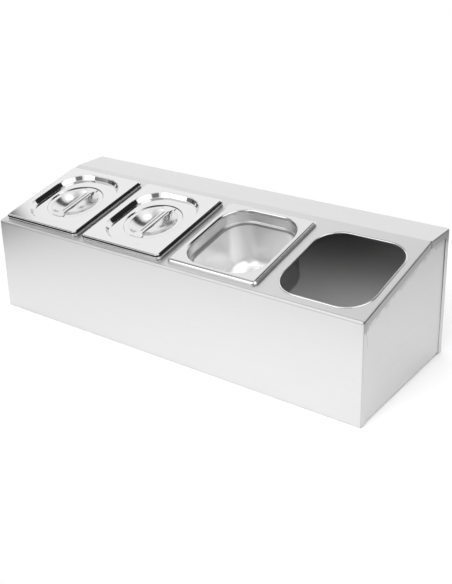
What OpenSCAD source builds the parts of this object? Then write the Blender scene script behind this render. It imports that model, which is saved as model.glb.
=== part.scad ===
// Sloping counter stand with lift-out food pans and lift-off lids, all of pressed stainless sheet.
// Origin: centre of the base on the counter. X runs along the row of bays, Y to the back, Z up.

/* [Stand] */
// Length of the stand along the row of bays
body_w = 700; // [690:1:900]
// Depth of the stand from front to back
body_d = 262; // [255:1:330]
// Height of the front panel
front_h = 161; // [150:1:240]
// Height of the flat strip along the back
rear_h = 207; // [195:1:290]
// Depth of the flat strip along the back
strip_d = 63; // [30:1:65]
// Thickness of the stand's sheet
sheet_t = 1; // [0.8:0.1:1.2]
// Outside radius of the folds
fold_r = 2; // [1.5:0.1:3]
// Width of the returns folded round each end
return_w = 12; // [8:0.5:20]
// Width of the foot turned in along the bottom edges
foot_w = 14; // [8:0.5:30]
// Height of the end panels' bottom edge above the counter
end_lift = 3; // [2:0.5:8]
// Clearance between the folds and the edge of an end panel
end_gap = 0.3; // [0.1:0.1:1]
// Slit left at each mitred corner of the returns
mitre_gap = 0.4; // [0.2:0.1:1]

/* [Bays] */
// Number of bays in the row
bays = 4; // [4:1:5]
// Distance that the row of bays sits to the right of the stand's middle
bay_offset = 1.5; // [-3:0.5:3]
// Width of a bay's cut-out
cut_w = 145.6; // [144:0.2:150]
// Length of a bay's cut-out, up the slope
cut_l = 163; // [160:0.2:166]
// Corner radius of a bay's cut-out
cut_r = 41; // [30:1:45]
// Distance from the stand's front edge to the cut-outs, up the slope
cut_front = 16.6; // [12:0.2:22]

/* [Pans] */
// Width of a pan's rim
rim_w = 162; // [158:0.5:166]
// Length of a pan's rim
rim_l = 176; // [172:0.5:182]
// Corner radius of the rims
rim_r = 7; // [6:0.5:12]
// Height of a pan's rim above the stand
rim_h = 6; // [5.5:0.5:9]
// Outside radius of the fold along a pan's rim
rim_fold_r = 5; // [2:0.1:5.5]
// Width of a pan's mouth
mouth_w = 139; // [134:0.5:141]
// Length of a pan's mouth
mouth_l = 155.5; // [150:0.5:157]
// Corner radius of a pan's mouth
mouth_r = 44; // [38:1:50]
// Radius of the rounded edge into the mouth
mouth_edge_r = 2.5; // [1.5:0.1:4]
// Depth of a pan below its rim
pan_depth = 100; // [65:1:140]
// Depth of the stacking shoulder below the rim
shoulder_z = 20; // [14:0.5:30]
// Distance that the walls step in at the shoulder
shoulder_in = 3.2; // [2.8:0.1:5]
// Angle of the stacking shoulder from upright
shoulder_tilt = 60; // [45:1:64]
// Radius of the two bends of the shoulder
shoulder_r = 2.8; // [1.5:0.1:3]
// Draft of the walls below the shoulder, in degrees
draft = 2.5; // [1:0.1:4]
// Radius between the walls and the floor
floor_r = 18; // [8:0.5:22]
// Thickness of the pans' sheet
pan_t = 0.8; // [0.6:0.1:1]
// Clearance of a rim's lower edge above the stand
seat_gap = 0.2; // [0.1:0.1:0.5]
// Distance that the pans sit to the right of their cut-outs' middle
pan_offset = 2.2; // [-2.2:0.1:2.2]
// Distance that the lidded pans have slid down their bays
lidded_slip = 2.4; // [0:0.1:2.5]

/* [Lids] */
// Height of a lid's folded edge
lid_h = 5.2; // [4.4:0.2:7]
// Outside radius of the fold along a lid's edge
lid_fold_r = 4; // [2:0.1:4.8]
// Width of a lid's pressed recess at the top
recess_w = 132.5; // [125:0.5:134]
// Length of a lid's pressed recess at the top
recess_l = 149; // [140:0.5:150]
// Corner radius of a lid's pressed recess
recess_r = 50; // [40:1:54]
// Depth of a lid's pressed recess
recess_z = 7.5; // [5:0.5:12]
// Angle of the recess wall from level
recess_tilt = 57; // [45:1:70]
// Radius of the bends above and below the recess wall
recess_bend_r = 2; // [1.2:0.1:2.5]
// Diameter of the round step that the handle sits in
ring_d = 100; // [96:0.5:102]
// Depth of that round step
ring_z = 1.8; // [1.5:0.1:2.4]
// Angle of the round step from level
ring_tilt = 65; // [45:1:68]
// Radius of the bends above and below the round step
ring_bend_r = 1.1; // [1:0.1:1.3]
// Diameter of the dish for the fingers
dish_d = 82; // [70:0.5:84]
// Steepness of the dish at its edge, in degrees
dish_tilt = 36; // [25:1:45]
// Thickness of the lids' sheet
lid_t = 0.8; // [0.6:0.1:1]
// Clearance between a lid's edge and the pan's rim
lid_gap = 0.1; // [0.05:0.05:0.5]

/* [Handles] */
// Width of a handle strap
strap_w = 12; // [9:0.5:14]
// Height of the strap, from its top to the lower edge of its turned-down sides
strap_h = 3; // [2.4:0.1:4]
// Outside radius of the fold along the strap's sides
strap_fold_r = 1.6; // [1.3:0.1:2]
// Width of a handle's flared ends
strap_end_w = 24; // [20:0.5:30]
// Length of a handle's flared ends
strap_end_l = 7; // [5:0.5:9]
// Thickness of the handle's sheet
strap_t = 1; // [0.8:0.1:1.2]
// Clearance of a handle from the round step and from the dish
strap_gap = 0.4; // [0.2:0.1:1]
// Radius of the groove pressed along the strap
groove_r = 3; // [2.5:0.1:4]
// Depth of the groove
groove_z = 0.6; // [0.4:0.1:0.8]
// Distance from the groove's ends to the strap's ends
groove_end = 17; // [12:0.5:20]
// Distance of a spot weld from the middle of the strap
weld_x = 5; // [3:0.5:7]
// Radius of the small dimples left by the spot welds
weld_r = 1.1; // [0.8:0.1:1.5]

/* [Hidden] */
$fn = 96;

stand_colour = [0.86, 0.87, 0.88];
pan_colour = [0.70, 0.71, 0.72];
lid_colour = [0.93, 0.93, 0.94];

rise = rear_h - front_h;
slope_run = body_d - strip_d;
slope = atan2(rise, slope_run);
slope_l = norm([rise, slope_run]);
bay_pitch = body_w / bays;
bay_v = cut_front + cut_l / 2;
end_x = body_w / 2;
lid_under = rim_h - rim_fold_r + sqrt(pow(rim_fold_r, 2) - pow(rim_fold_r - lid_t, 2)) + lid_gap;
lid_top = lid_under + lid_h;
panel_top = lid_top - recess_z;
land_top = panel_top - ring_z;
dish_edge_r = lid_t + 0.7;
bowl_r = round(1000 * (dish_d / 2 - dish_edge_r * sin(dish_tilt)) / sin(dish_tilt)) / 1000;
dish_z = (bowl_r + dish_edge_r) * (1 - cos(dish_tilt));
weld_sink = 0.15;

// Lap of a pressed part's flat middle over the section that carries it, and how much lower it lies.
lap = 1;
lap_sink = 0.05;
// How far a cutting tool reaches past the sheet that it cuts.
reach_past = 1;

// ---------------------------------------------------------------- bent sheet in section
// A section is written as a chain, in the order that the sheet is bent. Each link starts where the one
// before it ends, heading along x, with its show face at y = 0 and the metal below it. $metal is the
// sheet's thickness.

module half_plane(r) {
    translate([0, -r]) square([r, 2 * r]);
}

module run(l) {
    translate([0, -$metal]) square([l, $metal]);
    translate([l, 0]) children();
}

// The angle nearest to a whose sine and cosine, both to six figures, still square to one. Every bend is
// eased to such an angle, by less than a hundredth of a degree, so that the links meet without a step.
function six(x) = round(x * 1e6) / 1e6;
function misfit(s) = abs(pow(s, 2) + pow(six(sqrt(1 - pow(s, 2))), 2) - 1);
function eased_small(a) =
    let (tries = [for (k = [-80 : 80]) six(sin(a)) + k * 1e-6],
         misfits = [for (s = tries) misfit(s)])
    asin(tries[search(min(misfits), misfits)[0]]);
function eased(a) = a < 0 ? -eased(-a) : a == 90 ? 90 : a > 45 ? 90 - eased_small(90 - a) : eased_small(a);

// A bend, towards the metal where the angle is positive. r is the radius of the show face.
module bend(nominal_angle, r) {
    angle = eased(nominal_angle);
    side = angle > 0 ? -1 : 1;
    inner = angle > 0 ? r - $metal : r;
    outer = inner + $metal;
    translate([0, side * r]) {
        intersection() {
            difference() {
                circle(outer);
                circle(inner);
            }
            half_plane(2 * outer);
            rotate(-angle) mirror([1, 0]) half_plane(2 * outer);
        }
        rotate(-angle) translate([0, -side * r]) children();
    }
}

module rounded_rect(w, l, r) {
    square([w, l - 2 * r], center = true);
    square([w - 2 * r, l], center = true);
    for (x = [-1, 1], y = [-1, 1]) {
        translate([x * (w / 2 - r), y * (l / 2 - r)]) circle(r);
    }
}

// Carries a section round a rounded rectangle; the section's x is measured outwards from that line.
module carried_round(w, l, r) {
    for (k = [0 : 3]) {
        reach = (k % 2 == 0 ? w : l) / 2;
        span = (k % 2 == 0 ? l : w) / 2;
        rotate(90 * k) {
            translate([reach, 0, 0]) rotate([90, 0, 0]) {
                linear_extrude(2 * (span - r), center = true) children();
            }
            translate([reach - r, span - r, 0]) {
                rotate_extrude(angle = 90) translate([r, 0]) children();
            }
        }
    }
}

// Places a thing on the slope: x along the stand, y up the slope from the front edge, z out of it.
module on_slope(x, v) {
    translate([x, -body_d / 2, front_h]) rotate([slope, 0, 0]) translate([0, v, 0]) children();
}

function bay_x(i) = (i + 0.5) * bay_pitch - body_w / 2 + bay_offset;

// Places a pan, or what lies on it, in its bay.
module in_bay(i, slip) {
    on_slope(bay_x(i) + pan_offset, bay_v - slip) children();
}

// ---------------------------------------------------------------- stand
// The wrap is one sheet, also written as a chain of links: x is the way up the sheet, y points out of
// the stand and z runs along it.

module along_stand(w) {
    translate([0, 0, -w / 2]) linear_extrude(w) children();
}

module fold(angle, r = fold_r) {
    $metal = sheet_t;
    along_stand(body_w - 2 * fold_r) bend(angle, r);
    translate([0, -r, 0]) rotate(-eased(angle)) translate([0, r, 0]) children();
}

// A flat of the wrap. Where it has returns, they are folded round both ends of the stand, and their
// inner edges are drawn in by mitre_a and mitre_b times their width, to meet their neighbours'.
module flat(l, returns = false, mitre_a = 0, mitre_b = 0) {
    $metal = sheet_t;
    along_stand(body_w - 2 * fold_r) run(l);
    if (returns) {
        for (side = [0, 1]) {
            mirror([0, 0, side]) end_return(l, mitre_a, mitre_b);
        }
    }
    translate([l, 0, 0]) children();
}

module end_return(l, mitre_a, mitre_b) {
    slit_a = mitre_a > 0 ? mitre_gap : 0;
    slit_b = mitre_b > 0 ? mitre_gap : 0;
    deep = return_w - fold_r;
    $metal = sheet_t;
    translate([slit_a, 0, body_w / 2 - fold_r]) rotate([90, 0, 90]) {
        linear_extrude(l - slit_a - slit_b) rotate(90) mirror([0, 1]) bend(90, fold_r);
    }
    translate([0, -fold_r, body_w / 2 - sheet_t]) linear_extrude(sheet_t) {
        polygon([[slit_a, 0], [l - slit_b, 0], [l - slit_b - deep * mitre_b, -deep],
                 [slit_a + deep * mitre_a, -deep]]);
    }
}

// The sloping flat, with the cut-outs for the pans. It starts a little way up the slope, at the fold.
module slope_flat(l, start, mitre_a, mitre_b) {
    difference() {
        flat(l, true, mitre_a, mitre_b);
        for (i = [0 : bays - 1]) {
            translate([bay_v - start, 0, bay_x(i)]) rotate([90, 0, 0]) {
                linear_extrude(2 * (sheet_t + reach_past), center = true) rounded_rect(cut_l, cut_w, cut_r);
            }
        }
    }
    translate([l, 0, 0]) children();
}

module housing() {
    steep = tan((90 - slope) / 2);
    mild = tan(slope / 2);
    crest_r = 3 * fold_r;
    foot_l = foot_w - fold_r;
    front_l = front_h - fold_r - fold_r * steep;
    ramp_l = slope_l - fold_r * steep - crest_r * mild;
    strip_l = strip_d - crest_r * mild - fold_r;
    back_l = rear_h - 2 * fold_r;
    color(stand_colour) translate([0, foot_w - body_d / 2, 0]) rotate([90, 0, 90]) rotate(180) {
        flat(foot_l) fold(90)
        flat(front_l, true, 0, steep) fold(90 - slope)
        slope_flat(ramp_l, fold_r * steep, steep, mild) fold(slope, crest_r)
        flat(strip_l, true, mild, 1) fold(90)
        flat(back_l, true, 1, 0) fold(90)
        flat(foot_l);
    }
}

// A panel that closes the right-hand end: it lies against the inside of the returns, and its foot is
// turned in under it.
module end_panel() {
    inset = fold_r + end_gap;
    y_front = inset - body_d / 2;
    y_back = body_d / 2 - inset;
    z_foot = end_lift + fold_r;
    z_top = rear_h - inset;
    y_bend = body_d / 2 - strip_d + inset * tan(slope / 2);
    z_front = z_top - (y_bend - y_front) * tan(slope);
    face_x = end_x - sheet_t;
    $metal = sheet_t;
    color(stand_colour) {
        translate([face_x - sheet_t, 0, 0]) rotate([90, 0, 90]) linear_extrude(sheet_t) {
            polygon([[y_front, z_foot], [y_front, z_front], [y_bend, z_top], [y_back, z_top], [y_back, z_foot]]);
        }
        translate([face_x, y_back, z_foot]) rotate([90, 0, 0]) linear_extrude(y_back - y_front) {
            rotate(-90) bend(90, fold_r) run(foot_w - fold_r);
        }
    }
}

module end_panel_right() {
    end_panel();
}

module end_panel_left() {
    mirror([1, 0, 0]) end_panel();
}

// ---------------------------------------------------------------- pressed rims

// A folded rim all round, with its flat top left open from the given hole outwards.
module pressed_rim(under, top, r, hole_w, hole_l, hole_r) {
    carried_round(rim_w, rim_l, rim_r) {
        translate([-r, top]) bend(90, r) run(top - r - under);
    }
    translate([0, 0, top - $metal]) linear_extrude($metal) difference() {
        rounded_rect(rim_w - 2 * r, rim_l - 2 * r, rim_r - r);
        rounded_rect(hole_w, hole_l, hole_r);
    }
}

// Starts a section that runs inwards from x = 0 at the given height.
module inwards_from(x, z) {
    translate([x, z]) mirror([1, 0]) children();
}

// Length left between two bends that meet in a drawn length l.
function between(l, angle_a, r_a, angle_b, r_b) = l - r_a * tan(angle_a / 2) - r_b * tan(angle_b / 2);

// ---------------------------------------------------------------- pans

module pan(i, slip) {
    swing = shoulder_tilt - draft;
    floor_turn = 90 - draft;
    ledge_l = shoulder_in / sin(shoulder_tilt);
    wall_h = pan_depth - shoulder_z - shoulder_in / tan(shoulder_tilt);
    wall_l = wall_h / cos(draft);
    // how far in from the mouth the flat of the floor starts
    floor_in = shoulder_in + wall_h * tan(draft) + floor_r * tan(floor_turn / 2);
    floor_edge = floor_in + lap / 2;
    $metal = pan_t;
    color(pan_colour) in_bay(i, slip) {
        pressed_rim(seat_gap, rim_h, rim_fold_r, mouth_w + 2 * mouth_edge_r,
                    mouth_l + 2 * mouth_edge_r, mouth_r + mouth_edge_r);
        carried_round(mouth_w, mouth_l, mouth_r) inwards_from(mouth_edge_r, rim_h) {
            bend(90, mouth_edge_r)
            run(between(shoulder_z, 90, mouth_edge_r, shoulder_tilt, shoulder_r))
            bend(-shoulder_tilt, shoulder_r)
            run(between(ledge_l, shoulder_tilt, shoulder_r, swing, shoulder_r))
            bend(swing, shoulder_r)
            run(between(wall_l, swing, shoulder_r, floor_turn, floor_r))
            bend(-floor_turn, floor_r)
            run(lap);
        }
        translate([0, 0, rim_h - pan_depth - lap_sink - pan_t]) linear_extrude(pan_t) {
            rounded_rect(mouth_w - 2 * floor_edge, mouth_l - 2 * floor_edge, mouth_r - floor_edge);
        }
    }
}

module pan_1() {
    pan(0, lidded_slip);
}

module pan_2() {
    pan(1, lidded_slip);
}

module pan_3() {
    pan(2, 0);
}

// ---------------------------------------------------------------- lids

// Length of the straight part of a pressed step, and how far the whole step runs across.
function step_l(drop, tilt, r) = between(drop / sin(tilt), tilt, r, tilt, r);
function step_run(drop, tilt, r) = 2 * r * tan(tilt / 2) + drop / tan(tilt);

// The round middle of a lid, from its centre out: the dish, the land for the handle and the step.
module lid_middle() {
    land_l = ring_d / 2 - step_run(ring_z, ring_tilt, ring_bend_r) - dish_d / 2;
    rotate_extrude() translate([0, land_top - dish_z]) {
        bend(-dish_tilt, bowl_r) bend(dish_tilt, dish_edge_r)
        run(land_l)
        bend(-ring_tilt, ring_bend_r) run(step_l(ring_z, ring_tilt, ring_bend_r)) bend(ring_tilt, ring_bend_r)
        run(lap);
    }
}

module lid(i) {
    panel_edge = step_run(recess_z, recess_tilt, recess_bend_r) + lap / 2;
    $metal = lid_t;
    color(lid_colour) in_bay(i, lidded_slip) {
        pressed_rim(lid_under, lid_top, lid_fold_r, recess_w, recess_l, recess_r);
        carried_round(recess_w, recess_l, recess_r) inwards_from(0, lid_top) {
            bend(recess_tilt, recess_bend_r)
            run(step_l(recess_z, recess_tilt, recess_bend_r))
            bend(-recess_tilt, recess_bend_r)
            run(lap);
        }
        translate([0, 0, panel_top - lap_sink - lid_t]) linear_extrude(lid_t) difference() {
            rounded_rect(recess_w - 2 * panel_edge, recess_l - 2 * panel_edge, recess_r - panel_edge);
            circle(d = ring_d + lap);
        }
        lid_middle();
    }
}

module lid_1() {
    lid(0);
}

module lid_2() {
    lid(1);
}

// ---------------------------------------------------------------- handles

// Half the length of a handle: its ends stop just short of the round step.
strap_reach = ring_d / 2 - step_run(ring_z, ring_tilt, ring_bend_r) - strap_gap;
neck_y = strap_reach - strap_end_l;
flare = (strap_end_w - strap_w) / 2;

// Half the length of the turned-down sides: they stop at the flare, or sooner if the dish gets too shallow.
side_z = strap_h - strap_t + strap_gap;
side_r = sqrt(pow(bowl_r, 2) - pow(bowl_r - dish_z + side_z, 2));
side_y = min(neck_y - flare, sqrt(pow(side_r, 2) - pow(strap_w / 2, 2)));

// Outline from above of a handle's flat end, flared, and rounded to follow the step.
module strap_end_outline() {
    intersection() {
        circle(strap_reach);
        union() {
            translate([-strap_w / 2, side_y]) square([strap_w, strap_reach - side_y]);
            translate([-strap_end_w / 2, neck_y]) square([strap_end_w, strap_end_l]);
            for (side = [0, 1]) {
                mirror([side, 0]) translate([strap_w / 2, neck_y - flare]) difference() {
                    square(flare);
                    translate([flare, 0]) circle(flare);
                }
            }
        }
    }
}

// The strap in section, with both sides turned down.
module strap_section() {
    $metal = strap_t;
    for (side = [0, 1]) {
        mirror([side, 0]) translate([0, strap_t]) {
            run(strap_w / 2 - strap_fold_r) bend(90, strap_fold_r) run(strap_h - strap_fold_r);
        }
    }
}

// A round bar with ball ends along the strap, whose lowest line is the bottom of the groove.
module groove_bar(r) {
    half = strap_reach - groove_end;
    translate([0, 0, strap_t - groove_z + groove_r]) {
        rotate([90, 0, 0]) cylinder(r = r, h = 2 * half, center = true);
        for (y = [-half, half]) {
            translate([0, y, 0]) sphere(r);
        }
    }
}

module lid_handle(i) {
    ball_r = (pow(weld_r, 2) + pow(weld_sink, 2)) / (2 * weld_sink);
    weld_y = strap_reach - strap_end_l / 2;
    under_r = groove_r + strap_t;
    color(lid_colour) in_bay(i, lidded_slip) translate([0, 0, land_top]) difference() {
        union() {
            rotate([90, 0, 0]) linear_extrude(2 * side_y, center = true) strap_section();
            for (end = [0, 1]) {
                mirror([0, end, 0]) linear_extrude(strap_t) strap_end_outline();
            }
            // the metal pushed down below the groove, as far as the middle of the strap's sheet
            intersection() {
                groove_bar(under_r);
                translate([-under_r, -strap_reach, -strap_t]) cube([2 * under_r, 2 * strap_reach, 3 * strap_t / 2]);
            }
        }
        groove_bar(groove_r);
        for (x = [-1, 1], y = [-1, 1]) {
            translate([x * weld_x, y * weld_y, strap_t + ball_r - weld_sink]) sphere(ball_r);
        }
    }
}

module lid_handle_1() {
    lid_handle(0);
}

module lid_handle_2() {
    lid_handle(1);
}

housing();
end_panel_left();
end_panel_right();
pan_1();
pan_2();
pan_3();
lid_1();
lid_2();
lid_handle_1();
lid_handle_2();
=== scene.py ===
# %% [markdown]
# A countertop stand for food pans, dressed for a picture.
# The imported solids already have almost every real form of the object: a wrap folded from one sheet,
# two end panels, three pressed pans, two pressed lids and their strap handles. This script keeps those
# solids exactly where they are, gives each one the surface of the metal it is made of, adds the rolled
# edges of the four openings, and sets up the table, the light and the camera.

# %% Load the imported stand
import math

import bpy
from mathutils import Matrix, Vector


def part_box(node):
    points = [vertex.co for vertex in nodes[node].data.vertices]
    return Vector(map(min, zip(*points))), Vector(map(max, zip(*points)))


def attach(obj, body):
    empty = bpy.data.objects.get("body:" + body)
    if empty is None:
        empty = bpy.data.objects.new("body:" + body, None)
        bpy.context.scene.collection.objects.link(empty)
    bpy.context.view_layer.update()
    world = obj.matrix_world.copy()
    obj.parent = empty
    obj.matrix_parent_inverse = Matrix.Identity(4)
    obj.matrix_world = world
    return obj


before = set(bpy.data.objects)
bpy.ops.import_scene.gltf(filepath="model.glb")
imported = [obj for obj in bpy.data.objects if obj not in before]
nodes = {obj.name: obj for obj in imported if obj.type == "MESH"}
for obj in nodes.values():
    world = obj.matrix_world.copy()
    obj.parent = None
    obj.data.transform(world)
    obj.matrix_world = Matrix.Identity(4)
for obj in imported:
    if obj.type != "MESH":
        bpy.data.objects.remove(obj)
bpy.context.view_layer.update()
print("solids:", ", ".join(sorted(nodes)))

# %% [markdown]
# The camera. A lens of about 58 mm on a 36 mm sensor gives the calm perspective of a catalogue picture
# taken from a little over a metre away. The camera looks down on the right-hand front corner. The
# sensor is shifted a little, as on a view camera, which moves the stand in the frame and bends no line.
# A constraint could aim the camera at the stand, but writing out the two directions of its frame,
# right and up, also fixes how it is tilted.

# %% Camera
MM = 0.001
picture = (452, 584)
eye = Vector((859.94, -1122.76, 726.02)) * MM
right = Vector((0.79778, 0.60221, -0.02993))
up = Vector((-0.19815, 0.30874, 0.93028))
lens_in_pixels = 946.71
axis_in_picture = (204.56, 231.74)
sensor = 36.0

lens = bpy.data.cameras.new("view_camera")
lens.sensor_width = sensor
lens.lens = lens_in_pixels * sensor / max(picture)
lens.shift_x = (picture[0] / 2 - axis_in_picture[0]) / max(picture)
lens.shift_y = (axis_in_picture[1] - picture[1] / 2) / max(picture)
lens.clip_start = 0.05
lens.clip_end = 200
camera = bpy.data.objects.new("view_camera", lens)
turned = Matrix((right, up, right.cross(up))).transposed().to_4x4()
camera.matrix_world = Matrix.Translation(eye) @ turned
bpy.context.scene.collection.objects.link(camera)
bpy.context.scene.camera = camera
bpy.context.scene.view_settings.view_transform = "Standard"
print(f"lens {lens.lens:.1f} mm, shift {lens.shift_x:.3f}, {lens.shift_y:.3f}")

# %% [markdown]
# Two small helpers. Colours are written as the hex numbers a designer would pick on a screen, and one
# function turns them into the linear numbers that a renderer adds and multiplies. The other function
# adds one node to a node tree. Its settings are the choices on the node itself, and each of its inputs
# takes either a number or the output of another node, which is then connected to it.

# %% Helpers for colours and nodes
def linear(code, alpha=1.0):
    parts = [int(code[i : i + 2], 16) / 255 for i in (1, 3, 5)]
    return (*[p / 12.92 if p <= 0.04045 else ((p + 0.055) / 1.055) ** 2.4 for p in parts], alpha)


def add(tree, kind, settings=None, inputs=None):
    node = tree.nodes.new(kind)
    for key, value in (settings or {}).items():
        setattr(node, key, value)
    for key, value in (inputs or {}).items():
        if isinstance(value, bpy.types.NodeSocket):
            tree.links.new(value, node.inputs[key])
        else:
            node.inputs[key].default_value = value
    return node


print("mid grey #808080 is", round(linear("#808080")[0], 3), "in linear light")

# %% [markdown]
# Masks and coats. A sheet-metal worker masks part of a sheet with tape and treats the rest. Here a mask
# is a number from 0 to 1. It is 1 where a measure lies between a lowest and a highest value, and it
# fades to 0 over a soft distance outside them, so that no edge looks cut with a knife. Several limits
# are multiplied, and the mask is 1 only where all of them hold. Coats are laid one over another, each
# through its own mask, like layers of paint. Masks painted by hand would do the same, but they need an
# unwrapped mesh and a picture file beside the script.

# %% Masks and coats
def where(tree, *limits):
    mask = None
    for measure, lowest, highest, soft in limits:
        fades = []
        if lowest is not None:
            fades.append({"From Min": lowest - soft, "From Max": lowest, "To Min": 0.0, "To Max": 1.0})
        if highest is not None:
            fades.append({"From Min": highest, "From Max": highest + soft, "To Min": 1.0, "To Max": 0.0})
        for ends in fades:
            smooth = {"interpolation_type": "SMOOTHSTEP"}
            fade = add(tree, "ShaderNodeMapRange", smooth, {"Value": measure, **ends}).outputs[0]
            if mask is not None:
                fade = add(tree, "ShaderNodeMath", {"operation": "MULTIPLY"}, {0: mask, 1: fade}).outputs[0]
            mask = fade
    return mask


def coats(tree, base, *layers):
    for mask, layer in layers:
        base = add(tree, "ShaderNodeMix", {"data_type": "FLOAT"}, {0: mask, 2: base, 3: layer}).outputs[0]
    return base


print("helpers ready: where and coats")

# %% [markdown]
# The studio. Polished steel has hardly any colour of its own: it shows the room. A product studio is a
# white tent with a few openings, so the steel looks white where it faces the tent and black where it
# faces an opening. The room is painted on the sky, as soft rectangles of a given direction and size,
# because a sky stays where it is when the camera walks round. A real room modelled round the stand
# would do the same, but it would be slower and would stand in the way of the other views.

# %% What hangs in the studio
TENT_LIGHT = 1.26
# what it is, degrees from +Y towards +X, degrees up, half width, half height, soft edge, brightness
cards = (
    ("grey ceiling on the left", -85, 74, 42, 5, 6, 0.28),
    ("ceiling behind the camera", -155, 74, 26, 6, 8, 0.8),
    ("lamp overhead", 0, 90, 180, 6.5, 4, 2.4),
    ("dark frame above the window", 0, 62.5, 43, 7, 4, 0.03),
    ("black gap to the right", 58, 29, 19, 33, 3, 0.03),
    ("bright wall behind the gap", 110, 42, 27, 20, 5, 2.0),
    ("grey wall in front", 157, 27, 11, 14, 5, 0.25),
    ("bright wall in front", -156, 24, 30, 27, 5, 2.1),
    ("dark gap at the front left", -122, 10, 15, 9, 4, 0.2),
    ("grey wall on the left", -97, 4, 9, 14, 4, 0.25),
    ("window bar on the left", -64, 36, 2.6, 5, 1.5, 0.1),
    ("dark picture on the left wall", -110, 45, 13, 6, 5, 0.04),
    ("dark floor at the front left", -125, -4, 17.5, 9.5, 2, 0.03),
    ("room below the table", 0, -45, 180, 46, 3, 0.05),
    ("white board at the front", -150, -10, 6, 12, 3, 1.2),
)
print("cards in the studio:", len(cards))

# %% [markdown]
# Painting the studio. Every direction of the sky has a bearing and a height, as a star has. A card is
# a mask round its own bearing and height, and its brightness is a coat over the tent. Only reflections
# and light see the cards. The camera itself sees plain white, as behind a cut-out product.

# %% Paint the studio on the sky
world = bpy.data.worlds.new("studio")
bpy.context.scene.world = world
world.use_nodes = True
sky = world.node_tree
sky.nodes.clear()
way = add(sky, "ShaderNodeTexCoord").outputs["Generated"]
xyz = add(sky, "ShaderNodeSeparateXYZ", inputs={0: way}).outputs
bearing = add(sky, "ShaderNodeMath", {"operation": "ARCTAN2"}, {0: xyz[0], 1: xyz[1]}).outputs[0]
rise = add(sky, "ShaderNodeMath", {"operation": "ARCSINE"}, {0: xyz[2]}).outputs[0]
light = TENT_LIGHT
for _, card_bearing, card_rise, half_width, half_height, soft, brightness in cards:
    limits = []
    for angle, centre, half in ((bearing, card_bearing, half_width), (rise, card_rise, half_height)):
        off = add(sky, "ShaderNodeMath", {"operation": "SUBTRACT"}, {0: angle, 1: math.radians(centre)})
        away = add(sky, "ShaderNodeMath", {"operation": "ABSOLUTE"}, {0: off.outputs[0]}).outputs[0]
        limits.append((away, None, math.radians(half), math.radians(soft)))
    light = coats(sky, light, (where(sky, *limits), brightness))
WHITE = linear("#FFFFFF")
room = add(sky, "ShaderNodeBackground", inputs={"Color": WHITE, "Strength": light})
plain = add(sky, "ShaderNodeBackground", inputs={"Color": WHITE, "Strength": 1.0})
seen = add(sky, "ShaderNodeLightPath").outputs["Is Camera Ray"]
both = add(sky, "ShaderNodeMixShader", inputs={0: seen, 1: room.outputs[0], 2: plain.outputs[0]})
add(sky, "ShaderNodeOutputWorld", inputs={0: both.outputs[0]})
print("nodes that paint the studio:", len(sky.nodes))

# %% [markdown]
# The table. The stand is on a table top of limited size, covered with white paper. Beyond its edges
# the steel mirrors the dark room below, as it would round a real table. A paper that goes on for ever
# would take that darkness out of every bend. Paper is matt: it scatters light evenly and mirrors nothing,
# so to the eye the table runs into the white behind it.

# %% White table top
LEFT, RIGHT, FRONT_END, BACK_END = -0.62, 0.72, -0.58, 0.62
corners = ((LEFT, FRONT_END), (RIGHT, FRONT_END), (RIGHT, BACK_END), (LEFT, BACK_END))
sheet = bpy.data.meshes.new("floor")
sheet.from_pydata([(x, y, 0) for x, y in corners], [], [(0, 1, 2, 3)])
floor = bpy.data.objects.new("floor", sheet)
bpy.context.scene.collection.objects.link(floor)
paper = bpy.data.materials.new("matt_white_paper")
paper.use_nodes = True
paper.node_tree.nodes.clear()
matt = add(paper.node_tree, "ShaderNodeBsdfDiffuse", inputs={"Color": linear("#F6F6F6")})
add(paper.node_tree, "ShaderNodeOutputMaterial", inputs={0: matt.outputs[0]})
sheet.materials.append(paper)
print(f"table {RIGHT - LEFT:.2f} m wide and {BACK_END - FRONT_END:.2f} m deep")

# %% [markdown]
# The light over the table. A long soft strip close above the stand lifts the paper to a clean white.
# It is hidden from mirrors, as a studio flags its lamps so that they don't show in the metal. A
# brighter room would lift the paper too, but it would also wash out every dark reflection.

# %% Strip light over the table
strip = bpy.data.lights.new("table_strip_light", "AREA")
strip.shape = "RECTANGLE"
strip.size = 1.4
strip.size_y = 0.2
strip.energy = 2.6
holder = bpy.data.objects.new("table_strip_light", strip)
holder.location = (0.25, -0.28, 0.5)
holder.visible_glossy = False
bpy.context.scene.collection.objects.link(holder)
print(f"strip light {strip.size:.1f} m long, {strip.energy:.1f} W")

# %% [markdown]
# Stainless steel. Every part is the same metal, pressed or folded from sheet, so one function starts
# every finish: a full metal with the default index of refraction, a light grey colour and a roughness.
# What differs from part to part is how the sheet was treated. The sheet of the stand is brushed, the
# pans are satin inside, and the lids are polished. Photographs of real steel could be wrapped round
# the parts, but these few nodes fit every shape and have no seams. A second function darkens a finish
# by a tone, where 1 leaves the metal as it is and 0 is black.

# %% Start of a metal
def start_metal(name, colour, roughness):
    metal = bpy.data.materials.new(name)
    metal.use_nodes = True
    tree = metal.node_tree
    tree.nodes.clear()
    finish = {"Metallic": 1.0, "Base Color": linear(colour), "Roughness": roughness}
    surface = add(tree, "ShaderNodeBsdfPrincipled", inputs=finish)
    add(tree, "ShaderNodeOutputMaterial", inputs={0: surface.outputs[0]})
    here = add(tree, "ShaderNodeTexCoord").outputs
    return metal, tree, surface, here["Object"], here["Normal"]


def darken(tree, surface, tone):
    colour = tuple(surface.inputs["Base Color"].default_value)
    mixed = add(tree, "ShaderNodeMix", {"data_type": "RGBA"}, {0: tone, 6: linear("#000000"), 7: colour})
    tree.links.new(mixed.outputs[2], surface.inputs["Base Color"])


print("stainless steel #CFCFCF reflects", round(linear("#CFCFCF")[0], 2), "of the light")

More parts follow.
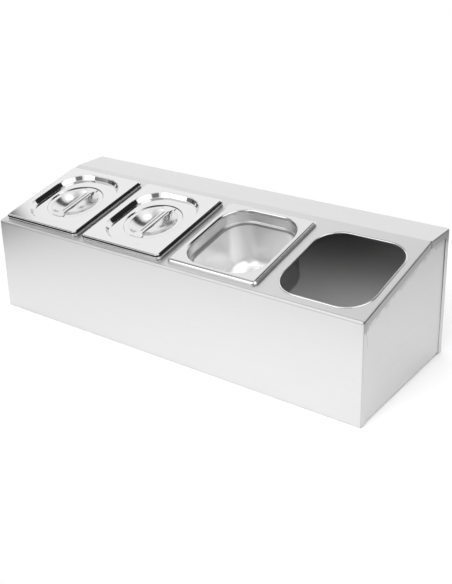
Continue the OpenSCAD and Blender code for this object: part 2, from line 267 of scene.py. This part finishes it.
# %% [markdown]
# Where things are. The slope rises from the front fold to the strip along the back, and most marks lie
# along it, so places are measured square to the slope, up the slope, or along the stand. The sizes are
# those that the stand is folded to. Each finish can then say where it starts and ends in metres. The
# way that a face looks is measured with the same function. It gives 1 if the face looks straight along
# a direction, 0 if it looks square to it, and -1 if it looks the other way.

# %% Directions and places
STAND_WIDTH, STAND_DEPTH, STRIP_DEPTH = 0.7, 0.262, 0.063
FRONT_HEIGHT, REAR_HEIGHT = 0.161, 0.207
slope_angle = math.atan2(REAR_HEIGHT - FRONT_HEIGHT, STAND_DEPTH - STRIP_DEPTH)
ACROSS, FORWARDS, UPWARDS = Vector((1, 0, 0)), Vector((0, -1, 0)), Vector((0, 0, 1))
SLOPE = Vector((0, -math.sin(slope_angle), math.cos(slope_angle)))
UPHILL = Vector((0, math.cos(slope_angle), math.sin(slope_angle)))
SLOPE_FOOT = Vector((0, -STAND_DEPTH / 2, FRONT_HEIGHT))
slope_level = SLOPE.dot(SLOPE_FOOT)
slope_start = UPHILL.dot(SLOPE_FOOT)


def how_far(tree, vector, direction, start=0.0, either_way=False):
    along = add(tree, "ShaderNodeVectorMath", {"operation": "DOT_PRODUCT"}, {0: vector, 1: direction})
    off = add(tree, "ShaderNodeMath", {"operation": "SUBTRACT"}, {0: along.outputs["Value"], 1: start})
    if either_way:
        off = add(tree, "ShaderNodeMath", {"operation": "ABSOLUTE"}, {0: off.outputs[0]})
    return off.outputs[0]


print("the slope leans", round(math.degrees(slope_angle), 1), "degrees")

# %% [markdown]
# Uneven metal. No sheet is equally smooth all over. A noise pattern, stretched along the way that the
# belt or the wheel ran, makes the finish a little rougher here and a little smoother there. Where the
# scratches are deep enough to catch the light, the same pattern also gives them a slight relief.
# Modelled scratches would need millions of faces and would look the same from here.

# %% Grain of a treated surface
SCRATCH_DEPTH = 0.0002


def grain(tree, surface, place, per_metre, roughness, change, relief=0.0):
    stretched = add(tree, "ShaderNodeMapping", inputs={"Vector": place, "Scale": per_metre}).outputs[0]
    pattern = {"Vector": stretched, "Scale": 1.0, "Detail": 3.0}
    lines = add(tree, "ShaderNodeTexNoise", inputs=pattern).outputs[0]
    ridges = where(tree, (lines, 0.8, None, 0.6))
    share = coats(tree, 1 - change, (ridges, 1 + change))
    uneven = add(tree, "ShaderNodeMath", {"operation": "MULTIPLY"}, {0: roughness, 1: share}).outputs[0]
    tree.links.new(uneven, surface.inputs["Roughness"])
    if relief:
        bumps = {"Strength": relief, "Distance": SCRATCH_DEPTH, "Height": lines}
        tree.links.new(add(tree, "ShaderNodeBump", inputs=bumps).outputs[0], surface.inputs["Normal"])
    return ridges


print("relief of a scratch, mm:", SCRATCH_DEPTH / MM)

# %% [markdown]
# Painted dark band under the edges. The end panels are tacked to the wrap from inside, close under its
# edge. A darker, blotchy band is painted there as a dark reflection. The thin dark line above it is partly
# the real gap between the two sheets and partly painted shadow. The band follows both the slope and the
# strip, so the nearer of the two edges counts. The blotches are about 10 mm across, and they move the lower
# end of the band up and down by a few millimetres. The band could be painted by hand, but a measured
# distance follows the edge exactly.

# %% Painted dark band under the edges
BLOTCHES_PER_METRE = 90.0


def painted_dark_band(tree, place, full, gone, tone):
    under_slope = how_far(tree, place, SLOPE * -1, -slope_level)
    under_strip = how_far(tree, place, UPWARDS * -1, -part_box("housing")[1][2])
    nearest = {0: under_slope, 1: under_strip}
    under_edge = add(tree, "ShaderNodeMath", {"operation": "MINIMUM"}, nearest).outputs[0]
    pattern = {"Vector": place, "Scale": BLOTCHES_PER_METRE, "Detail": 2.0}
    blotches = add(tree, "ShaderNodeTexNoise", inputs=pattern).outputs[0]
    shift = coats(tree, 0.003, (where(tree, (blotches, 0.65, None, 0.3)), -0.004))
    reach = add(tree, "ShaderNodeMath", {"operation": "ADD"}, {0: under_edge, 1: shift}).outputs[0]
    # painted dark reflection under the edge, fading out further down
    tinted = coats(tree, tone, (where(tree, (reach, gone, None, gone - full)), 1.0))
    # thin dark line along the edge: partly the gap between the sheets, partly painted shadow
    gap = coats(tree, 0.4, (where(tree, (under_edge, 0.0024, None, 0.0018)), 1.0))
    return add(tree, "ShaderNodeMath", {"operation": "MULTIPLY"}, {0: tinted, 1: gap}).outputs[0]


print("blotches about", round(1 / BLOTCHES_PER_METRE / MM), "mm across")

# %% [markdown]
# The folded sheet of the stand. The mill brushes the sheet with an abrasive belt before it is folded.
# The scratches are some hundredths of a millimetre apart, far too fine for a picture of this size, so
# they are drawn about 2 mm apart and 60 mm long, running along the stand. To the eye the scratches
# blur every reflection into a soft glow.

# %% Brushed sheet of the stand
SCRATCH_GAP, SCRATCH_LENGTH = 0.002, 0.06
THICK, LONG = 1 / SCRATCH_GAP, 1 / SCRATCH_LENGTH
BRUSHED = 0.38
sheet_steel, tree, surface, place, facing = start_metal("brushed_stainless_sheet", "#CFCFCF", BRUSHED)
scratches = grain(tree, surface, place, (LONG, THICK, THICK), BRUSHED, change=0.1, relief=0.03)
print("scratches drawn", SCRATCH_GAP / MM, "mm apart")

# %% [markdown]
# Inside the stand. Through the empty opening one sees the bare inner face of the back panel. Little
# light gets in, so it is darkest just below the slope and a little brighter towards the table, where
# light leaks in under the stand. The mask takes only faces that look forwards, behind the middle and
# below the slope. A faint glow low down stands for light that bounces too often to be worked out.

# %% Gloom inside the stand
looks_forwards = how_far(tree, facing, FORWARDS)
inside = where(
    tree,
    (looks_forwards, 0.9, None, 0.2),
    (how_far(tree, place, FORWARDS * -1), 0.01, None, 0.01),
    (how_far(tree, place, SLOPE, slope_level), None, -0.003, 0.0015),
)
height = how_far(tree, place, UPWARDS)
LIT, UNLIT, GLOW_ENDS = 0.02, 0.17, 0.16
gloom = coats(tree, 1.0, (where(tree, (height, UNLIT, None, UNLIT - LIT)), 0.5))
glow = coats(tree, 0.1, (where(tree, (height, GLOW_ENDS, None, GLOW_ENDS - LIT)), 0.0))
surface.inputs["Emission Color"].default_value = WHITE
tree.links.new(coats(tree, 0.0, (inside, glow)), surface.inputs["Emission Strength"])
print("the gloom deepens over", round((UNLIT - LIT) / MM), "mm of height")

# %% [markdown]
# Painted dark lines at the folds. Two faint dark lines lie on both sides of the front fold, about 2 and 3
# mm from it, beside the bright line of the fold: they are painted dark reflections. A third painted dark
# line runs along the corner, where the returns are folded round the ends. They are drawn as darker metal
# and not cut into the mesh. On the end faces the painted dark band under the edges shows as well.

# %% Painted dark lines at the folds, and the colour of the sheet
FOLD_TONE, MARK_WIDTH, MARK_SOFT = 0.75, 0.0008, 0.0004
MARK_ABOVE, MARK_BELOW = 0.002, 0.003
up_slope = how_far(tree, place, UPHILL, slope_start)
down_front = how_far(tree, place, UPWARDS * -1, -FRONT_HEIGHT)
from_middle = how_far(tree, place, ACROSS, either_way=True)
# painted dark reflections on both sides of the front fold and along the corner
above_mark = (up_slope, MARK_ABOVE, MARK_ABOVE + MARK_WIDTH, MARK_SOFT)
below_mark = (down_front, MARK_BELOW, MARK_BELOW + MARK_WIDTH, MARK_SOFT)
above_fold = where(tree, above_mark)
below_fold = where(tree, below_mark, (up_slope, None, 0.001, 0.001))
corner = where(tree, (from_middle, STAND_WIDTH / 2 - 0.001, None, 0.0006), (looks_forwards, 0.6, None, 0.4))
painted_fold_lines = coats(tree, 1.0, (above_fold, FOLD_TONE), (below_fold, FOLD_TONE), (corner, FOLD_TONE))
# painted dark band under the edges, on the end faces of the wrap
endways = where(tree, (how_far(tree, facing, ACROSS, either_way=True), 0.9, None, 0.3))
tint = coats(tree, 1.0, (endways, painted_dark_band(tree, place, full=0.013, gone=0.02, tone=0.66)))
scratch_tone = coats(tree, 0.97, (scratches, 1.0))
tone = coats(tree, 1.0, (inside, gloom))
for mark in (painted_fold_lines, tint, scratch_tone):
    tone = add(tree, "ShaderNodeMath", {"operation": "MULTIPLY"}, {0: tone, 1: mark}).outputs[0]
darken(tree, surface, tone)
print("nodes in the finish of the stand:", len(tree.nodes))

# %% [markdown]
# The end panels. They are cut from the same brushed sheet, with the scratches running from front to back.
# The painted dark band lies on them as well, more faintly. To the eye the ends are calm and greyer than the
# front, with a painted dark edge at the top.

# %% Brushed end panels with the painted dark band
TINT_FULL, TINT_GONE = 0.012, 0.02
end_steel, tree, surface, place, _ = start_metal("brushed_stainless_end_sheet", "#CFCFCF", BRUSHED)
grain(tree, surface, place, (THICK, LONG, THICK), BRUSHED, change=0.1, relief=0.02)
# painted dark band under the top edge of the end panel
darken(tree, surface, painted_dark_band(tree, place, full=TINT_FULL, gone=TINT_GONE, tone=0.82))
print("painted dark band fades out", TINT_GONE / MM, "mm below the edge of the slope")

# %% [markdown]
# The middle of a pressed part. The pans and the lids sit a little to one side of their openings, and
# the lidded ones have slid downhill, so each part's own corners say where its middle is.

# %% Middle of a pan or a lid
def middle_of(node):
    points = [vertex.co for vertex in nodes[node].data.vertices]
    across, uphill = [p.x for p in points], [UPHILL.dot(p) for p in points]
    return (min(across) + max(across)) / 2, (min(uphill) + max(uphill)) / 2


for node in ("pan_2", "pan_3"):
    print(node, "is centred", round((middle_of(node)[1] - slope_start) / MM, 1), "mm up the slope")

# %% [markdown]
# The pans. A pan is drawn from a flat blank in a press. The flat rim comes out of the press polished, and
# the inside keeps the satin of the blank. The inside is drawn in a lighter grey than the rim of the same
# steel, which is painted light. The wall above the step that stops two pans from jamming in a stack has a
# faint painted shade, and the step itself a deep painted shade. The outside is painted dark, as the shade
# of the closed stand it hangs in. The turned-down side of the rim mirrors only the narrow strip of slope
# beside it, and the front bend of the rim mirrors the dark floor, so both are darkened as painted
# reflections. The foot of the turned-down side is darkest of all, as a painted contact shadow.
# To the eye each rim is a bright narrow frame round a soft, pale inside. The parts of the pan could each
# be given a material of their own, but the masks can fade from one into the next, as the metal does.

# %% Pressed pans
# the inside is a lighter grey than the rim, though both are the same steel: painted light
PAN_INSIDE, PAN_RIM = "#F2F2F2", "#CDCDCD"
RIM_FOOT, RIM_SOFT = 0.001, 0.0015
STEP_FOOT, STEP_TOP, WALL_FOOT = -0.0195, -0.0145, -0.014
PAN_FRONT = -0.084
SATIN = 0.34


def pan_steel(node):
    middle_x, middle_uphill = middle_of(node)
    name = "satin_pressed_stainless_" + node
    metal, tree, surface, place, facing = start_metal(name, PAN_INSIDE, SATIN)
    above = how_far(tree, place, SLOPE, slope_level)
    uphill = how_far(tree, place, UPHILL, middle_uphill)
    # positive on faces that look away from the pan's middle, and larger the further out they are
    sideways = {0: how_far(tree, place, ACROSS, middle_x), 1: how_far(tree, facing, ACROSS)}
    outward = add(tree, "ShaderNodeMath", {"operation": "MULTIPLY"}, sideways).outputs[0]

    on_rim = (above, RIM_FOOT, None, RIM_SOFT)
    rim = where(tree, on_rim)
    turned_down = where(tree, (outward, 0.05, None, 0.04), on_rim)
    looks_up = how_far(tree, facing, SLOPE)
    front_lip = where(tree, (uphill, None, PAN_FRONT, 0.002), (looks_up, 0.82, 0.99, 0.02))
    step = where(tree, (above, STEP_FOOT, STEP_TOP, 0.0015))
    upper_wall = where(tree, (above, WALL_FOOT, None, 0.004))

    # painted contact shadow at the foot of the turned-down side, painted dark reflection above it
    side_tone = coats(tree, 0.1, (where(tree, (above, 0.0016, None, 0.001)), 0.85))
    rim_shade = linear(PAN_RIM)[0] / linear(PAN_INSIDE)[0]
    # painted dark reflection on the front bend of the rim
    rim_tone = coats(tree, rim_shade, (turned_down, side_tone), (front_lip, 0.4))
    # painted shade on the wall above the step, and deeper painted shade on the step
    wall_tone = coats(tree, 1.0, (upper_wall, 0.85), (step, 0.45))
    # painted shade on the outside of the pan, which hangs in the closed stand
    outside_tone = coats(tree, 1.0, (where(tree, (outward, 0.03, None, 0.02)), 0.3))
    body_tone = add(tree, "ShaderNodeMath", {"operation": "MULTIPLY"}, {0: wall_tone, 1: outside_tone})
    darken(tree, surface, coats(tree, body_tone.outputs[0], (rim, rim_tone)))
    roughness = coats(tree, SATIN, (rim, 0.12), (turned_down, 0.3))
    grain(tree, surface, place, (10, 10, 10), roughness, change=0.02)
    return metal


print("the stacking step is", round((STEP_TOP - STEP_FOOT) / MM, 1), "mm high")

# %% [markdown]
# The lids. They are pressed from bright sheet and polished, so their bends act as narrow mirrors: each
# bend squeezes the whole studio into a few millimetres and shows it as crisp black and white bands.
# The blackest bands, on the front fold, on the ring round the dish and on the sides, are darkened on
# the part itself, because a studio painted on the sky can't be dark for one bend and bright for the
# next. The dish under the handle is less polished, because no wheel reaches it well, and looks softer.
# The lower edge is worn dull where the lid is pushed about.

# %% Pressed lids
LID_FRONT, LID_SIDE, LID_FOOT = -0.083, 0.079, 0.0045
DISH_RADIUS, RING_WIDTH = 0.046, 0.006
POLISHED, LID_DARK = 0.07, 0.08


def lid_steel(node):
    middle_x, middle_uphill = middle_of(node)
    name = "polished_pressed_stainless_" + node
    metal, tree, surface, place, facing = start_metal(name, "#D2D2D2", POLISHED)
    across = how_far(tree, place, ACROSS, middle_x)
    aside = how_far(tree, place, ACROSS, middle_x, either_way=True)
    uphill = how_far(tree, place, UPHILL, middle_uphill)
    above = how_far(tree, place, SLOPE, slope_level)
    flat = add(tree, "ShaderNodeCombineXYZ", inputs={0: across, 1: uphill}).outputs[0]
    radius = add(tree, "ShaderNodeVectorMath", {"operation": "LENGTH"}, {0: flat}).outputs["Value"]
    looks_downhill = how_far(tree, facing, UPHILL * -1)
    looks_up = how_far(tree, facing, SLOPE)
    looks_aside = how_far(tree, facing, ACROSS, either_way=True)

    front = where(tree, (looks_up, 0.14, 0.72, 0.06), (uphill, None, LID_FRONT, 0.003))
    on_ring = (radius, DISH_RADIUS, DISH_RADIUS + RING_WIDTH, 0.002)
    ring = where(tree, on_ring, (looks_downhill, 0.5, None, 0.25))
    side = where(tree, (looks_aside, 0.97, None, 0.17))
    worn = where(tree, (aside, LID_SIDE, None, 0.001), (above, None, LID_FOOT, 0.0005))
    round_dish = where(tree, (radius, DISH_RADIUS, None, 0.005))
    roughness = coats(tree, 0.2, (round_dish, POLISHED), (worn, 0.6))
    grain(tree, surface, place, (60, 60, 60), roughness, change=0.1)
    bands = [(mask, LID_DARK) for mask in (front, ring, side)]
    darken(tree, surface, coats(tree, 1.0, *bands, (worn, 1.0)))
    return metal


print("the dish is", round(2 * DISH_RADIUS / MM), "mm across")

# %% [markdown]
# The handles. A strap of thin sheet is pressed to a channel, spot-welded at both ends and polished.
# The wheel runs up and down the strap, so its grain is stretched that way. To the eye the strap is a
# bright ribbon with soft highlights, between the sharp bands of the lid and the dull sheet.

# %% Polished straps
STRAP_ROUGHNESS = 0.2
strap_steel, tree, surface, place, _ = start_metal("polished_stainless_strap", "#D4D4D4", STRAP_ROUGHNESS)
grain(tree, surface, place, (150, 20, 150), STRAP_ROUGHNESS, change=0.2)
print("strap roughness", STRAP_ROUGHNESS)

# %% [markdown]
# Who wears what. Each solid has one material slot, which now takes its finish. The pans and the lids
# have a material each, since their masks are measured from their own middles.

# %% Put the finishes on
wears = {
    "housing": sheet_steel,
    "end_panel_left": end_steel,
    "end_panel_right": end_steel,
    "lid_handle_1": strap_steel,
    "lid_handle_2": strap_steel,
}
wears.update({node: pan_steel(node) for node in ("pan_1", "pan_2", "pan_3")})
wears.update({node: lid_steel(node) for node in ("lid_1", "lid_2")})
for node, finish in wears.items():
    slots = nodes[node].data.materials
    slots.clear()
    slots.append(finish)
print("finished:", ", ".join(sorted(wears)))

# %% [markdown]
# The rolled edges. The four openings are punched, and the tool rolls the sharp edge over into a smooth
# ridge about a millimetre high. On the far side of the open bay it catches a thin bright line of light
# under a dark one. Each ridge is a thin tube laid round its opening and sunk in the sheet. A bevel on
# the solid would give only its inner half, so the tube is built point by point. First comes its route:
# four quarter circles, joined by the straight sides.

# %% Route round an opening
BAYS, BAY_PITCH, BAY_SHIFT = 4, 0.175, 0.0015
CUT_WIDTH, CUT_LENGTH, CUT_RADIUS, CUT_FRONT = 0.1456, 0.163, 0.041, 0.0166
BAY_UPHILL = CUT_FRONT + CUT_LENGTH / 2
RIDGE_RADIUS, RIDGE_SUNK = 0.0014, 0.0004
QUARTER_STEPS, TUBE_SIDES = 12, 16


def route_round_opening():
    route = []
    for side_x, side_v, first in ((1, 1, 0), (-1, 1, 90), (-1, -1, 180), (1, -1, 270)):
        for step in range(QUARTER_STEPS + 1):
            turn = math.radians(first + 90 * step / QUARTER_STEPS)
            x = side_x * (CUT_WIDTH / 2 - CUT_RADIUS) + (CUT_RADIUS + RIDGE_RADIUS) * math.cos(turn)
            v = side_v * (CUT_LENGTH / 2 - CUT_RADIUS) + (CUT_RADIUS + RIDGE_RADIUS) * math.sin(turn)
            route.append((x, v, math.cos(turn), math.sin(turn)))
    return route


print("points along one route:", len(route_round_opening()))

# %% [markdown]
# Then the tube. At each point of the route a ring of points stands upright on the sheet, and faces
# join each ring to the next. The last ring is joined to the first, so the tube has no ends.

# %% Tube of a rolled edge
def punched_edge(name, middle, finish):
    route = route_round_opening()
    points, faces = [], []
    for k, (x, v, out_x, out_v) in enumerate(route):
        for j in range(TUBE_SIDES):
            out = RIDGE_RADIUS * math.cos(2 * math.pi * j / TUBE_SIDES)
            lift = RIDGE_RADIUS * math.sin(2 * math.pi * j / TUBE_SIDES) - RIDGE_SUNK
            across = ACROSS * (x + out * out_x)
            points.append(middle + across + UPHILL * (v + out * out_v) + SLOPE * lift)
            this, after = k * TUBE_SIDES, (k + 1) % len(route) * TUBE_SIDES
            beside = (j + 1) % TUBE_SIDES
            faces.append((this + j, after + j, after + beside, this + beside))
    ridge = bpy.data.meshes.new(name)
    ridge.from_pydata(points, [], faces)
    ridge.polygons.foreach_set("use_smooth", [True] * len(faces))
    ridge.materials.append(finish)
    piece = bpy.data.objects.new(name, ridge)
    bpy.context.scene.collection.objects.link(piece)
    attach(piece, "stand")
    return piece


print("the ridge is", round((RIDGE_RADIUS - RIDGE_SUNK) / MM, 1), "mm high")

# %% [markdown]
# The finish of the ridge. Rolling burnishes the edge, so it is smoother than the brushed sheet and
# gives the eye a thin bright line. At the back of each opening only the side that looks downhill
# catches the light. The rest of the ridge is darkened there, so a thin dark line lies behind the bright
# one.

# %% Burnished edges, laid round the openings
BURNISHED, RIDGE_DARK, FAR_SIDE = 0.25, 0.04, 0.076
ridge_steel, tree, surface, place, facing = start_metal("rolled_over_punched_edge", "#D8D8D8", BURNISHED)
grain(tree, surface, place, (60, 60, 60), BURNISHED, change=0.1)
past_middle = how_far(tree, place, UPHILL, slope_start + BAY_UPHILL)
looks_uphill = how_far(tree, facing, UPHILL)
far_side = where(tree, (past_middle, FAR_SIDE, None, 0.01), (looks_uphill, -0.1, None, 0.15))
darken(tree, surface, coats(tree, 1.0, (far_side, RIDGE_DARK)))
for bay in range(BAYS):
    x = (bay + 0.5) * BAY_PITCH - STAND_WIDTH / 2 + BAY_SHIFT
    middle = SLOPE_FOOT + UPHILL * BAY_UPHILL + ACROSS * x
    ridge = punched_edge(f"punched_edge_{bay + 1}", middle, ridge_steel)
    print(ridge.name, "faces:", len(ridge.data.polygons))
